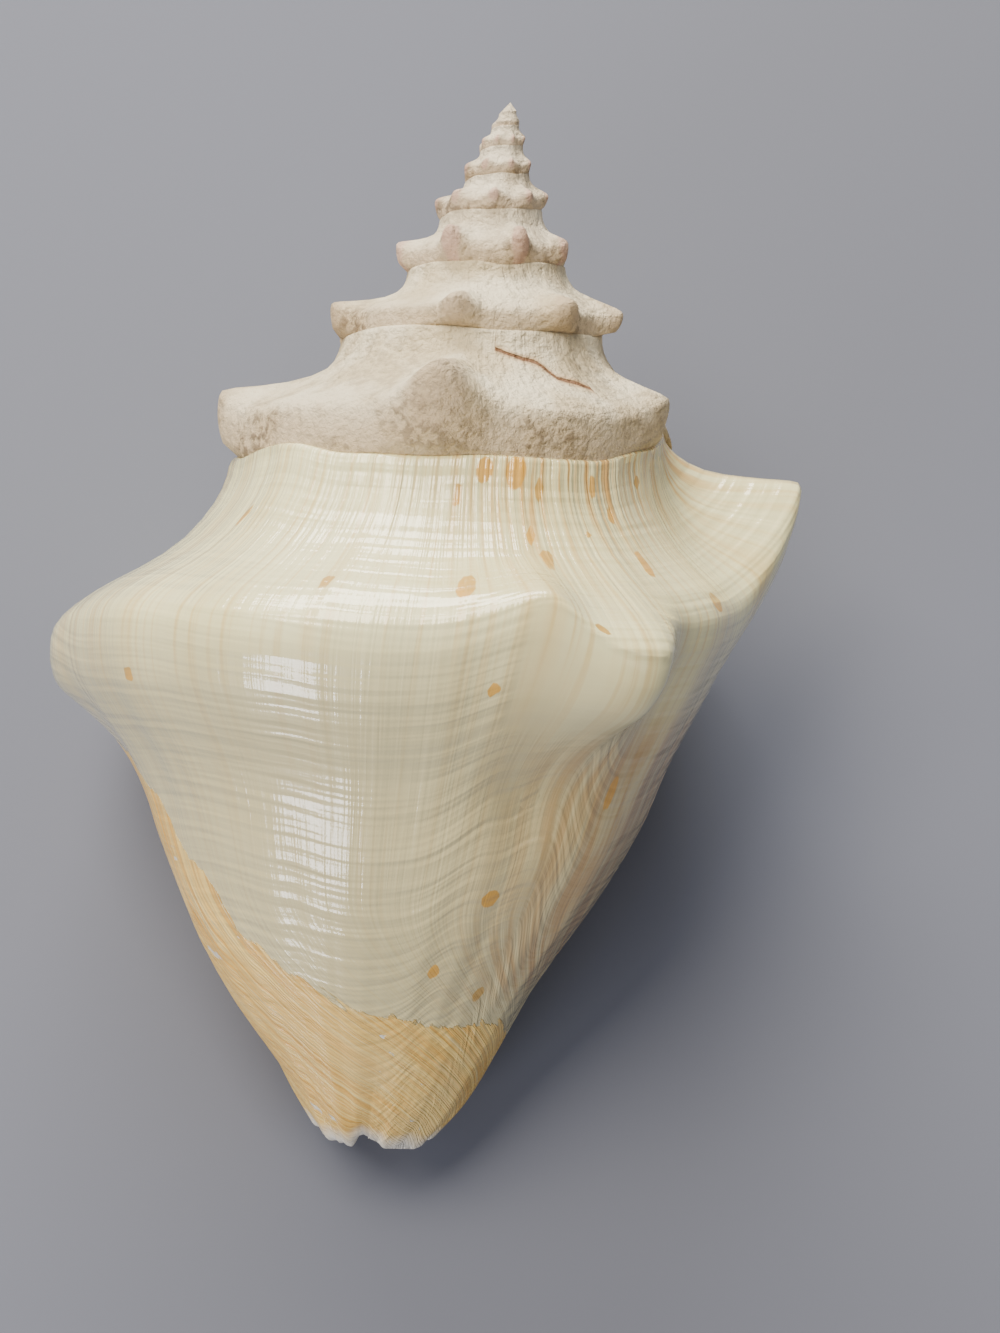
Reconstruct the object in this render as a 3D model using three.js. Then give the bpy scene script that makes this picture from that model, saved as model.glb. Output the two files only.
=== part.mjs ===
// A queen conch shell, lying on its opening: one grown wall with a tall spire, blunt shoulder
// spines, a hollow body chamber and an open siphonal canal. Millimetres. +Y runs to the apex,
// +Z is up, +X is the right-hand side of the back of the shell.
import * as THREE from 'three';

// ---- growth law ---------------------------------------------------------------------------
// The whorl is followed by its turn count: 0 is the right-hand side of the last whorl, 0.25 its
// back, 0.5 its left-hand side. Heights are distances from the apex along the axis.
const LAW_START = -7.75;
const SUTURE_DROP = [3.2, 5.1, 8.1, 12.5, 18.6, 26.2, 37.6, 51.8, 77.6, 114.5, 169.5];
const SUTURE_RADIUS = [1.0, 1.7, 2.7, 4.2, 6.3, 10.2, 16.0, 26.1, 43, 68, 104];
const FIRST_TURN = -7.35;
const LIP_TURN = 0.6;
const SHELL_LENGTH = 220.7;

// ---- whorl profile ------------------------------------------------------------------------
// From one suture to the next: share of the way down, share of the widening. SHOULDER is the
// share of the way down that is moved to fall on the shoulder of each whorl.
const RAMP = [[0, 0], [0.15, 0.065], [0.32, 0.19], [0.50, 0.43], [0.70, 0.83], [0.84, 1.0], [1, 1]];
const SHOULDER = 0.84;
// Below the lower suture: share of the way to the tip, share of the radius left there, on the
// right-hand side, on the left-hand side, and on the column inside.
const WALL_RIGHT = [[0, 1], [0.08, 0.95], [0.18, 0.885], [0.30, 0.81], [0.43, 0.73],
  [0.56, 0.615], [0.70, 0.482], [0.84, 0.377], [0.94, 0.29], [1, 0.21]];
const WALL_LEFT = [[0, 1], [0.08, 0.967], [0.18, 0.865], [0.30, 0.755], [0.43, 0.68],
  [0.56, 0.595], [0.70, 0.474], [0.84, 0.323], [0.94, 0.226], [1, 0.165]];
const WALL_COLUMN = [[0, 1], [0.08, 0.84], [0.18, 0.61], [0.30, 0.38], [0.43, 0.225],
  [0.56, 0.18], [0.70, 0.16], [0.84, 0.14], [0.94, 0.13], [1, 0.12]];

// ---- spines -------------------------------------------------------------------------------
// Turn, how far it stands out, how far its tip is raised to the apex, half widths in degrees on
// the older and newer side, and how far it reaches up the ramp and down the wall, as shares of
// the height of the whorl.
const SPINES = [
  [0.505, 5.5, -6, 16, 17, 0.40, 0.50], [0.33, 1.5, 0, 16, 16, 0.40, 0.50],
  [0.205, 3, 7, 8, 12, 0.30, 0.45], [0.158, 12, -5, 8, 16, 0.35, 0.56],
  [0, 9, 27, 10, 11, 0.84, 0.20], [-0.167, 13, 4, 13, 13, 0.40, 0.50],
  [-0.35, 6, 5, 12, 12, 0.40, 0.50], [-0.43, 5, 2, 7, 8, 0.40, 0.40],
  [-0.51, 6, 5, 10, 15, 0.42, 0.40], [-0.728, 7.5, 9.5, 10, 12, 0.45, 0.36],
  [-0.93, 3, 4, 10, 11, 0.42, 0.42], [-1.045, 8, -11, 9, 9, 0.30, 0.35],
  [-1.19, 4.5, 2, 11, 11, 0.40, 0.40], [-1.34, 4.5, 2, 11, 11, 0.40, 0.40],
  [-1.435, 4.5, 1, 7, 8, 0.40, 0.35], [-1.52, 4.5, 3, 9, 9, 0.42, 0.35],
  [-1.715, 5.2, 2.5, 8, 8, 0.36, 0.30], [-1.845, 4.8, 2.5, 9, 9, 0.38, 0.32],
  [-1.955, 5, 1.5, 8, 8, 0.40, 0.35], [-2.10, 3, 2, 12, 12, 0.40, 0.40],
  [-2.25, 3, 2, 12, 12, 0.40, 0.40], [-2.40, 3, 1, 10, 10, 0.40, 0.40],
  [-2.51, 3, 2.4, 11, 11, 0.42, 0.40], [-2.67, 3, 4, 9, 11, 0.45, 0.40],
  [-2.80, 3, 4, 9, 9, 0.45, 0.40], [-2.92, 2.4, 2, 10, 10, 0.40, 0.40],
];
const SMALL_KNOBS_A_TURN = 8.2;
const SMALL_KNOB_SHARE = 0.22;
const SMALL_KNOBS_FROM = -6.4;
const SMALL_KNOBS_TO = -3;
// Hollows: turn, distance from the apex, depth, half width in degrees, half height.
const DENTS = [[0.178, 139, -3.2, 15, 13], [0.115, 120, -1.6, 7, 20]];

// ---- wall and opening ---------------------------------------------------------------------
const WALL = 3;
const LIP_THINNING = 1.1;
const LEAST_GAP = 1.2;
const CHAMBER_END_TURN = -0.2;
const CANAL_OPEN_TURN = 0.28;
const CHAMBER_SHORTEST = 0.45;
const CHAMBER_TAPER = 0.45;

// ---- lying still --------------------------------------------------------------------------
const ROLL = 2.14;
const PITCH = 21.04;

// ---- mesh ---------------------------------------------------------------------------------
const STEPS = 60;
const SUTURE_ROW = RAMP.length - 1;
const LAST_ROW = SUTURE_ROW + WALL_LEFT.length - 1;

const TAU = 2 * Math.PI;
const clamp = (x, lo, hi) => Math.min(Math.max(x, lo), hi);
const ease = (x) => clamp(x, 0, 1) ** 2 * (3 - 2 * clamp(x, 0, 1));
const mix = (a, b, k) => a + (b - a) * k;

// A value that grows by a steady ratio each turn, smooth between the whorls.
function grown(values, turn) {
  const x = turn - LAW_START;
  const k = clamp(Math.floor(x), 1, values.length - 3);
  const f = x - k;
  const [p0, p1, p2, p3] = values.slice(k - 1, k + 3).map(Math.log);
  const cubic = f * (3 * (p1 - p2) + p3 - p0);
  return Math.exp(p1 + 0.5 * f * (p2 - p0 + f * (2 * p0 - 5 * p1 + 4 * p2 - p3 + cubic)));
}

// The second number of a list of pairs, read in a straight line at x.
function read(pairs, x) {
  const k = pairs.findIndex((p) => p[0] >= x - 1e-9);
  if (k <= 0) return pairs[0][1];
  const [x0, y0] = pairs[k - 1];
  const [x1, y1] = pairs[k];
  return mix(y0, y1, (x - x0) / (x1 - x0));
}

// How far down a whorl its shoulder lies. It sits lower on the last whorl.
function shoulderShare(turn) {
  return 0.66 + 0.08 * ease((-1 - turn) / 0.3) + 0.17 * ease((turn + 0.35) / 0.35);
}

// How far the spines and hollows move a point of the wall out and up.
function spinePush(turn, drop) {
  const a0 = grown(SUTURE_DROP, turn);
  const a1 = grown(SUTURE_DROP, turn + 1);
  const y = (drop - mix(a0, a1, shoulderShare(turn))) / (a1 - a0);
  let out = 0;
  let up = 0;
  for (const [at, high, raised, older, newer, ridge, foot] of SPINES) {
    const x = (turn - at) * 360 / (turn < at ? older : newer);
    const along = Math.exp(-1.45 * (x * x + 0.03) ** 0.82);
    const climb = clamp(1 + y / ridge, 0, 1);
    const below = Math.exp(-1.1 * Math.max(y / foot, 0) ** (1 + 4 * foot));
    const share = along * (y < 0 ? climb ** 1.5 : below);
    out += high * share * (1.2 - 0.3 * share ** 3);
    up += raised * along * (y < 0 ? climb * (0.4 * climb + 0.6) : below ** 1.5);
  }
  if (turn > SMALL_KNOBS_FROM && turn < SMALL_KNOBS_TO) {
    const count = turn * SMALL_KNOBS_A_TURN;
    const offset = count - Math.round(count);
    const wave = Math.exp(-3.2 * Math.sqrt(offset * offset + 0.004)) - 0.2;
    const size = grown(SUTURE_RADIUS, turn + 1) * SMALL_KNOB_SHARE * wave * Math.exp(-9 * y * y);
    out += size;
    up += size * 0.9;
  }
  for (const [at, mid, deep, half, tall] of DENTS) {
    const x = (turn - at) * 360 / half;
    const z = (drop - mid) / tall;
    out += deep * Math.exp(-1.5 * (x * x + z * z));
  }
  return [out, up];
}

// Radius and distance from the apex on the outside of the whorl.
function profile(turn, row, share = 1) {
  const r0 = grown(SUTURE_RADIUS, turn);
  const r1 = grown(SUTURE_RADIUS, turn + 1);
  const a0 = grown(SUTURE_DROP, turn);
  const a1 = grown(SUTURE_DROP, turn + 1);
  if (row <= SUTURE_ROW) {
    const k = Math.min(Math.floor(row), SUTURE_ROW - 1);
    const plain = mix(RAMP[k][0], RAMP[k + 1][0], row - k);
    const wide = mix(RAMP[k][1], RAMP[k + 1][1], row - k);
    const low = shoulderShare(turn);
    const upper = plain < SHOULDER;
    const down = upper ? plain * low / SHOULDER : mix(low, 1, (plain - SHOULDER) / (1 - SHOULDER));
    return [mix(r0, r1, wide), mix(a0, a1, down)];
  }
  const k = Math.min(Math.floor(row) - SUTURE_ROW, WALL_LEFT.length - 2);
  const f = row - SUTURE_ROW - k;
  const down = mix(WALL_LEFT[k][0], WALL_LEFT[k + 1][0], f) * share;
  const side = mix(read(WALL_RIGHT, down), read(WALL_LEFT, down), ease(turn / 0.5));
  const full = ease((turn - LIP_TURN + 1) / 0.42);
  return [r1 * mix(read(WALL_COLUMN, down), side, full), mix(a1, SHELL_LENGTH, down)];
}

function outside(turn, row, share = 1) {
  const [r, a] = profile(turn, row, share);
  const [out, up] = spinePush(turn, a);
  return [r + out, a - up];
}

// How much of the way to the tip the chamber reaches at this turn.
function reach(turn) {
  const back = ease((CANAL_OPEN_TURN - turn) / CHAMBER_TAPER);
  return mix(1, CHAMBER_SHORTEST, back);
}

// The inside of the outer wall: the outside moved inward, kept clear of the column.
function inside(turn, row) {
  const share = reach(turn);
  const step = 0.05;
  const [r, a] = profile(turn, row, share);
  const [rA, aA] = profile(turn, Math.max(row - step, 0), share);
  const [rB, aB] = profile(turn, Math.min(row + step, LAST_ROW), share);
  const long = Math.hypot(rB - rA, aB - aA);
  const wall = WALL - LIP_THINNING * ease((turn - 0.3) / 0.3);
  const atTip = row === LAST_ROW;
  const inR = atTip ? r - wall : r - wall * (aB - aA) / long;
  const top = grown(SUTURE_DROP, turn) + wall * 1.3;
  const inA = atTip ? a : Math.max(a + wall * (rB - rA) / long, top);
  const below = grown(SUTURE_DROP, turn);
  const down = clamp((inA - below) / (SHELL_LENGTH - below), 0, 1);
  const column = grown(SUTURE_RADIUS, turn) * read(WALL_COLUMN, down);
  return [Math.max(inR, column + LEAST_GAP), Math.min(inA, SHELL_LENGTH)];
}

// The spire does not stand quite straight on its axis.
function place(turn, [r, a]) {
  const side = 1.5 * ease((a - 25) / 20) * ease((115 - a) / 30) - 0.6 * ease((40 - a) / 30);
  return [r * Math.cos(TAU * turn) + side, -a, r * Math.sin(TAU * turn)];
}

// ---- the one closed skin ------------------------------------------------------------------
const firstStep = -Math.round((LIP_TURN - 1 - FIRST_TURN) * STEPS);
const chamberStep = Math.round((CHAMBER_END_TURN - LIP_TURN + 1) * STEPS);
const canalStep = Math.round((CANAL_OPEN_TURN - LIP_TURN + 1) * STEPS);
const turnAt = (i) => LIP_TURN - 1 + i / STEPS;

function shellGeometry() {
  const points = [];
  const faces = [];
  const ids = new Map();
  const id = (key, make) => {
    if (!ids.has(key)) {
      ids.set(key, points.length / 3);
      points.push(...make());
    }
    return ids.get(key);
  };
  // The lower edge of a whorl is the upper edge of the next one.
  const out = (i, j) => {
    if (j === SUTURE_ROW && i <= 0) return out(i + STEPS, 0);
    return id(`o${i},${j}`, () => place(turnAt(i), outside(turnAt(i), j)));
  };
  const inner = (i, j) => id(`i${i},${j}`, () => place(turnAt(i), inside(turnAt(i), j)));
  // The column and the covered wall of the whorl before, seen from inside the chamber.
  const column = (i, j) => {
    if (i === STEPS) return out(0, j);
    const turn = turnAt(i) - 1;
    return id(`c${i},${j}`, () => place(turn, outside(turn, j, reach(turnAt(i)))));
  };
  const tri = (a, b, c) => {
    if (a !== b && b !== c && c !== a) faces.push(a, c, b);
  };
  const quad = (a, b, c, d) => {
    tri(a, b, c);
    tri(a, c, d);
  };
  const fan = (centre, loop) => {
    loop.forEach((p, k) => tri(centre, p, loop[(k + 1) % loop.length]));
  };

  // Outside, from the apex to the lip.
  for (let i = firstStep; i < STEPS; i += 1) {
    const rows = i >= 0 ? LAST_ROW : SUTURE_ROW;
    for (let j = 0; j < rows; j += 1) {
      quad(out(i, j), out(i, j + 1), out(i + 1, j + 1), out(i + 1, j));
    }
  }
  // The apex.
  const apex = id('apex', () => [0, 0, 0]);
  const crown = [];
  for (let i = firstStep; i <= firstStep + STEPS; i += 1) crown.push(out(i, 0));
  for (let j = SUTURE_ROW - 1; j > 0; j -= 1) crown.push(out(firstStep, j));
  fan(apex, crown);
  // The edge of the lip, from the suture to the tip and on round the end of the canal.
  for (let j = 0; j < LAST_ROW; j += 1) {
    quad(out(STEPS, j), out(STEPS, j + 1), inner(STEPS, j + 1), inner(STEPS, j));
  }
  for (let i = canalStep; i < STEPS; i += 1) {
    quad(out(i + 1, LAST_ROW), out(i, LAST_ROW), inner(i, LAST_ROW), inner(i + 1, LAST_ROW));
  }
  tri(out(STEPS, 0), inner(STEPS, 0), column(STEPS, SUTURE_ROW + 1));
  // The chamber.
  for (let i = chamberStep; i < STEPS; i += 1) {
    for (let j = 0; j < LAST_ROW; j += 1) {
      quad(inner(i, j), inner(i + 1, j), inner(i + 1, j + 1), inner(i, j + 1));
    }
    for (let j = SUTURE_ROW + 1; j < LAST_ROW; j += 1) {
      quad(column(i, j), column(i, j + 1), column(i + 1, j + 1), column(i + 1, j));
    }
    const k = SUTURE_ROW + 1;
    quad(column(i, k), column(i + 1, k), inner(i + 1, 0), inner(i, 0));
    if (i < canalStep) {
      quad(inner(i, LAST_ROW), inner(i + 1, LAST_ROW), column(i + 1, LAST_ROW), column(i, LAST_ROW));
    }
  }
  // The far end of the chamber.
  for (let j = 0; j <= SUTURE_ROW; j += 1) {
    tri(inner(chamberStep, j), inner(chamberStep, j + 1), column(chamberStep, SUTURE_ROW + 1));
  }
  for (let j = SUTURE_ROW + 1; j < LAST_ROW; j += 1) {
    quad(inner(chamberStep, j), inner(chamberStep, j + 1),
      column(chamberStep, j + 1), column(chamberStep, j));
  }
  // The blunt end of the column.
  const end = id('end', () => [0, -SHELL_LENGTH - 0.5, 0]);
  const foot = [];
  for (let i = STEPS; i > canalStep; i -= 1) foot.push(column(i, LAST_ROW));
  foot.push(column(canalStep, LAST_ROW), inner(canalStep, LAST_ROW));
  for (let i = canalStep; i > 0; i -= 1) foot.push(out(i, LAST_ROW));
  fan(end, foot);

  const geometry = new THREE.BufferGeometry();
  geometry.setAttribute('position', new THREE.Float32BufferAttribute(points, 3));
  geometry.setIndex(faces);
  return geometry;
}

// Turns the shell to the way it lies, then sets it on the ground under the middle of its box.
function layDown(geometry) {
  geometry.rotateY(THREE.MathUtils.degToRad(ROLL));
  geometry.rotateX(THREE.MathUtils.degToRad(PITCH));
  geometry.computeBoundingBox();
  const { min, max } = geometry.boundingBox;
  geometry.translate(-(min.x + max.x) / 2, -(min.y + max.y) / 2, -min.z);
  geometry.computeVertexNormals();
}

const skin = shellGeometry();
layDown(skin);
const shell = new THREE.Mesh(skin, new THREE.MeshStandardMaterial({ color: 0xe6dfd0, roughness: 0.4 }));
shell.name = 'conch_shell';

const part = new THREE.Group();
part.name = 'queen_conch_shell';
part.add(shell);
export default part;
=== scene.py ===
# %% [markdown]
# # A queen conch shell
# The shell of a large sea snail, nearly grown, lying on its opening. The animal adds new shell only at the
# lip, so the whole shell is one sheet that was rolled round an axis while it kept growing in size.
# That is also how it is made here: flat grids are rolled by one growth law and welded along their edges.

# %% Load the fixed frame
import bmesh
import bpy
import numpy as np
from mathutils import Matrix, Vector


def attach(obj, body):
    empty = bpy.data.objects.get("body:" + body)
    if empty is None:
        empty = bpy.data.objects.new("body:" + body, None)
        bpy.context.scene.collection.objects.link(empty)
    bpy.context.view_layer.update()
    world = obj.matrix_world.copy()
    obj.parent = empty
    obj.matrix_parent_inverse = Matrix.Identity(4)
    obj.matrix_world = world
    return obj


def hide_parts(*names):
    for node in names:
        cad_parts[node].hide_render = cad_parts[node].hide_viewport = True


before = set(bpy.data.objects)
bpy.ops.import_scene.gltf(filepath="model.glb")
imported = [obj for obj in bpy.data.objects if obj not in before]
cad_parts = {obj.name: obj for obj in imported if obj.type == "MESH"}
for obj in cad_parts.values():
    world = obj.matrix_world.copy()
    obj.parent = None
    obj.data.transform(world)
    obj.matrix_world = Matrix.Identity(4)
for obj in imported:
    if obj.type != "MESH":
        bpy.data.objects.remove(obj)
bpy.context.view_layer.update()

# %% [markdown]
# ## The growth law
# A shell is followed by its turn count. 0 is the right-hand side of the last whorl, 0.25 its back and 0.5
# its left-hand side. Each whorl is about half as large again as the one before, so the values are joined
# through their logarithms. Heights are distances from the apex along the axis, in millimetres.

# %% Growth law
LAW_START = -7.75
SUTURE_DROP = [3.2, 5.1, 8.1, 12.5, 18.6, 26.2, 37.6, 51.8, 77.6, 114.5, 169.5]
SUTURE_RADIUS = [1.0, 1.7, 2.7, 4.2, 6.3, 10.2, 16.0, 26.1, 43, 68, 104]
FIRST_TURN, LIP_TURN, SHELL_LENGTH = -7.35, 0.6, 220.7
BACK_RADIUS = 44
TAU = 2 * np.pi


def ease(x):
    x = np.clip(x, 0, 1)
    return x * x * (3 - 2 * x)


def mix(a, b, k):
    return a + (b - a) * k


def grown(values, turn):
    # A smooth curve through the logarithms of the values, one value a turn.
    logs = np.log(values)
    x = np.asarray(turn, float) - LAW_START
    k = np.clip(np.floor(x).astype(int), 1, len(values) - 3)
    f = x - k
    p0, p1, p2, p3 = (logs[k + n] for n in (-1, 0, 1, 2))
    cubic = f * (3 * (p1 - p2) + p3 - p0)
    return np.exp(p1 + 0.5 * f * (p2 - p0 + f * (2 * p0 - 5 * p1 + 4 * p2 - p3 + cubic)))


print("last whorl, suture radius", np.round(grown(SUTURE_RADIUS, [0, 0.25, 0.5]), 1))

# %% [markdown]
# ## The profile of a whorl
# Between two sutures the wall first hugs the whorl above, swings out in a hollow ramp to the shoulder, and
# then drops nearly straight. Below that the last whorl narrows to the canal. Close to the opening the same
# line follows the column instead, so the wall is a mix of three curves.

# %% Whorl profile
# Share of the way down a whorl, share of its widening.
RAMP = np.array([(0, 0), (0.10, 0.04), (0.26, 0.13), (0.40, 0.28), (0.50, 0.43), (0.60, 0.62), (0.70, 0.83),
                 (0.77, 0.94), (0.84, 1.0), (0.92, 1.01), (1, 1)])
SHOULDER = 0.84
# Below the lower suture: share of the way to the tip, share of the radius left there.
WALL_RIGHT = np.array([(0, 1), (0.08, 0.95), (0.15, 0.905), (0.23, 0.85), (0.37, 0.775), (0.45, 0.715),
                       (0.52, 0.655), (0.60, 0.575), (0.69, 0.49), (0.77, 0.43), (0.85, 0.37), (0.93, 0.30),
                       (1, 0.21)])
WALL_LEFT = np.array([(0, 1), (0.07, 0.975), (0.14, 0.91), (0.21, 0.83), (0.30, 0.755), (0.395, 0.70),
                      (0.49, 0.64), (0.61, 0.555), (0.71, 0.465), (0.79, 0.38), (0.875, 0.285), (0.93, 0.235),
                      (1, 0.165)])
WALL_COLUMN = np.array([(0, 1), (0.08, 0.84), (0.18, 0.61), (0.30, 0.38), (0.43, 0.225), (0.56, 0.18),
                        (0.70, 0.16), (0.84, 0.14), (0.94, 0.13), (1, 0.12)])


def smooth_read(pairs, x):
    # A cubic through the points that never overshoots them much.
    px, py = pairs[:, 0], pairs[:, 1]
    slope = np.gradient(py, px)
    x = np.clip(x, px[0], px[-1])
    k = np.clip(np.searchsorted(px, x, side="right") - 1, 0, len(px) - 2)
    h = px[k + 1] - px[k]
    f = (x - px[k]) / h
    a, b = py[k], py[k + 1]
    ma, mb = slope[k] * h, slope[k + 1] * h
    return (a * (1 + 2 * f) * (1 - f) ** 2 + ma * f * (1 - f) ** 2
            + b * f * f * (3 - 2 * f) - mb * f * f * (1 - f))


def shoulder_share(turn):
    # The shoulder sits lower on the last whorl.
    return 0.66 + 0.08 * ease((-1.0 - turn) / 0.3) + 0.17 * ease((turn + 0.35) / 0.35)


def profile(turn, row, share=1.0):
    # Row 0 to 1 runs from suture to suture, 1 to 2 on to the end of the canal.
    r0, r1 = grown(SUTURE_RADIUS, turn), grown(SUTURE_RADIUS, turn + 1)
    a0, a1 = grown(SUTURE_DROP, turn), grown(SUTURE_DROP, turn + 1)
    low = shoulder_share(turn)
    x = np.clip(row, 0, 1)
    plain = np.where(x < low, x * SHOULDER / low, SHOULDER + (x - low) * (1 - SHOULDER) / (1 - low))
    down = np.clip(row - 1, 0, 1) * share
    full = ease((turn - LIP_TURN + 1) / 0.42)
    side = mix(smooth_read(WALL_RIGHT, down), smooth_read(WALL_LEFT, down), ease(turn / 0.5))
    left = mix(smooth_read(WALL_COLUMN, down), side, full)
    upper = row <= 1
    return (np.where(upper, mix(r0, r1, smooth_read(RAMP, plain)), r1 * left),
            np.where(upper, mix(a0, a1, x), mix(a1, SHELL_LENGTH, down)))


# %% [markdown]
# ## The shoulder spines
# At rest marks the mantle folds outwards and leaves a blunt hollow spine. Each spine has its turn, how far it
# stands out, how far its tip is raised, its half widths in degrees on the older and newer side, how far its
# ridge climbs the ramp, and how far its foot reaches down, both as shares of the whorl's height.
# The tiny first whorls carry regular knobs that grow with the shell.

# %% Spines
SPINES = [(0.505, 5.5, -6, 16, 17, 0.40, 0.50), (0.33, 1.5, 0, 16, 16, 0.40, 0.50),
          (0.205, 3, 7, 8, 12, 0.30, 0.45), (0.158, 12, -5, 8, 16, 0.35, 0.56),
          (0, 9, 27, 10, 11, 0.84, 0.20), (-0.167, 13, 4, 13, 13, 0.40, 0.50),
          (-0.35, 6, 5, 12, 12, 0.40, 0.50), (-0.43, 5, 2, 7, 8, 0.40, 0.40),
          (-0.51, 6, 5, 10, 15, 0.42, 0.40), (-0.728, 7.5, 9.5, 10, 12, 0.45, 0.36),
          (-0.93, 3, 4, 10, 11, 0.42, 0.42), (-1.045, 7, -9, 9, 9, 0.30, 0.35),
          (-1.19, 4.5, 2, 11, 11, 0.40, 0.40), (-1.34, 4.5, 2, 11, 11, 0.40, 0.40),
          (-1.435, 4.5, 1, 7, 8, 0.40, 0.35), (-1.52, 4.5, 3, 9, 9, 0.42, 0.35),
          (-1.715, 5.2, 2.5, 8, 8, 0.36, 0.30), (-1.845, 4.8, 2.5, 9, 9, 0.38, 0.32),
          (-1.955, 5, 1.5, 8, 8, 0.40, 0.35), (-2.10, 3, 2, 12, 12, 0.40, 0.40),
          (-2.25, 3, 2, 12, 12, 0.40, 0.40), (-2.40, 3, 1, 10, 10, 0.40, 0.40),
          (-2.51, 3, 2.4, 11, 11, 0.42, 0.40), (-2.67, 3, 4, 9, 11, 0.45, 0.40),
          (-2.80, 3, 4, 9, 9, 0.45, 0.40), (-2.92, 2.4, 2, 10, 10, 0.40, 0.40)]
SMALL_KNOBS_A_TURN, SMALL_KNOB_SHARE = 8.2, 0.22
# Hollows: turn, distance from the apex, depth, half width in degrees, half height.
DENTS = [(0.178, 139, -3.2, 15, 13), (0.115, 120, -1.6, 7, 20)]


def spine_push(turn, drop):
    # Millimetres out and up. Every spine is rounded where its ridge passes over the shoulder.
    a0, a1 = grown(SUTURE_DROP, turn), grown(SUTURE_DROP, turn + 1)
    y = (drop - mix(a0, a1, shoulder_share(turn))) / (a1 - a0)
    out, up = np.zeros(np.shape(turn)), np.zeros(np.shape(turn))
    for at, high, raised, older, newer, ridge, foot in SPINES:
        x = (turn - at) * 360 / np.where(turn < at, older, newer)
        along = np.exp(-1.45 * (x * x + 0.03) ** 0.82)
        climb = np.clip(1 - (np.hypot(y, 0.05) - 0.05) / ridge, 0, 1)
        below = np.exp(-1.1 * np.clip(y / foot, 0, 4) ** (1 + 4 * foot))
        share = along * np.where(y < 0, climb ** 1.5, below)
        out = out + high * share * (1.2 - 0.3 * share ** 3)
        up = up + raised * along * np.where(y < 0, climb * (0.4 * climb + 0.6), below ** 1.5)
    small = ease((-2.98 - turn) / 0.06) * ease((turn + 6.6) / 0.3)
    offset = (turn * SMALL_KNOBS_A_TURN + 0.2 * np.sin(turn * 3.1)) % 1 - 0.5
    wave = np.exp(-3.2 * np.sqrt(offset * offset + 0.004)) - 0.2
    size = grown(SUTURE_RADIUS, turn + 1) * SMALL_KNOB_SHARE * wave * small * np.exp(-9 * y * y)
    for at, mid, deep, half, tall in DENTS:
        out = out + deep * np.exp(-1.5 * ((turn - at) * 360 / half) ** 2 - 1.5 * ((drop - mid) / tall) ** 2)
    return out + size, up + size * 0.9


def outside(turn, row, share=1.0):
    turn, row = np.broadcast_arrays(np.asarray(turn, float), np.asarray(row, float))
    r, a = profile(turn, row, share)
    out, up = spine_push(turn, a)
    return r + out, a - up


# %% [markdown]
# ## Wall thickness and the chamber
# The wall is about three millimetres thick. The chamber behind the lip is bounded outside by that wall and
# inside by the column and the whorl before, and it narrows as it runs back into the shell.

# %% Chamber
WALL, LIP_THINNING, LEAST_GAP = 3.0, 1.1, 1.2
CHAMBER_END_TURN, CANAL_OPEN_TURN = -0.2, 0.28
CHAMBER_SHORTEST, CHAMBER_TAPER = 0.45, 0.45


def reach(turn):
    # How much of the way to the tip of the canal the chamber reaches.
    return mix(1, CHAMBER_SHORTEST, ease((CANAL_OPEN_TURN - turn) / CHAMBER_TAPER))


def inside(turn, row):
    # The outside moved inwards along the profile's own normal, and kept clear of the column.
    share = reach(turn)
    step = 0.01
    r, a = profile(turn, row, share)
    r_above, a_above = profile(turn, np.maximum(row - step, 0), share)
    r_below, a_below = profile(turn, np.minimum(row + step, 2), share)
    length = np.hypot(r_below - r_above, a_below - a_above)
    wall = WALL - LIP_THINNING * ease((turn - 0.3) / 0.3)
    at_tip = row > 1.999
    in_r = np.where(at_tip, r - wall, r - wall * (a_below - a_above) / length)
    in_a = np.where(at_tip, a, np.maximum(a + wall * (r_below - r_above) / length,
                                          grown(SUTURE_DROP, turn) + wall * 1.3))
    above = grown(SUTURE_DROP, turn)
    down = np.clip((in_a - above) / (SHELL_LENGTH - above), 0, 1)
    column = grown(SUTURE_RADIUS, turn) * smooth_read(WALL_COLUMN, down)
    return np.maximum(in_r, column + LEAST_GAP), np.minimum(in_a, SHELL_LENGTH)


# %% [markdown]
# ## Uneven growth
# Growth is never even. The lip moves on in small steps, the suture wanders, and broad folds and dents stay
# in the wall. A smooth random field, read in millimetres on the rolled-out sheet, moves the wall in and out.

# %% Random field and growth relief
def field(x, y, seed=0.0):
    x, y = np.broadcast_arrays(np.asarray(x, float), np.asarray(y, float))
    ix, iy = np.floor(x), np.floor(y)
    fx, fy = ease(x - ix), ease(y - iy)

    def corner(dx, dy):
        v = np.sin((ix + dx) * 127.1 + (iy + dy) * 311.7 + seed * 74.7) * 43758.5453
        return v - np.floor(v)

    return mix(mix(corner(0, 0), corner(1, 0), fx), mix(corner(0, 1), corner(1, 1), fx), fy) * 2 - 1


# Length along and across the growth lines, height, all in millimetres, and a number that picks the pattern.
# The first two are growth ripples, then two sizes of broad soft fold, and last the spiral cords.
RELIEF = [(2.2, 40, 0.10, 1), (5.5, 60, 0.22, 2), (17, 45, 0.55, 3), (9, 26, 0.22, 4), (90, 3.2, 0.05, 5)]


def relief(turn, along, across):
    # Millimetres outwards. Near the suture there are short pleats as well.
    size = np.clip(grown(SUTURE_RADIUS, turn) / BACK_RADIUS, 0.05, 1.2)
    waves = sum(field(along / long, across / wide, seed) * high for long, wide, high, seed in RELIEF)
    pleats = field(along / 1.6, across / 30, 10) * 0.30 * np.exp(-across / 7)
    return (waves + pleats) * size


# %% [markdown]
# Millimetres along the sheet are the length of the shoulder, added up turn by turn from the apex.

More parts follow.
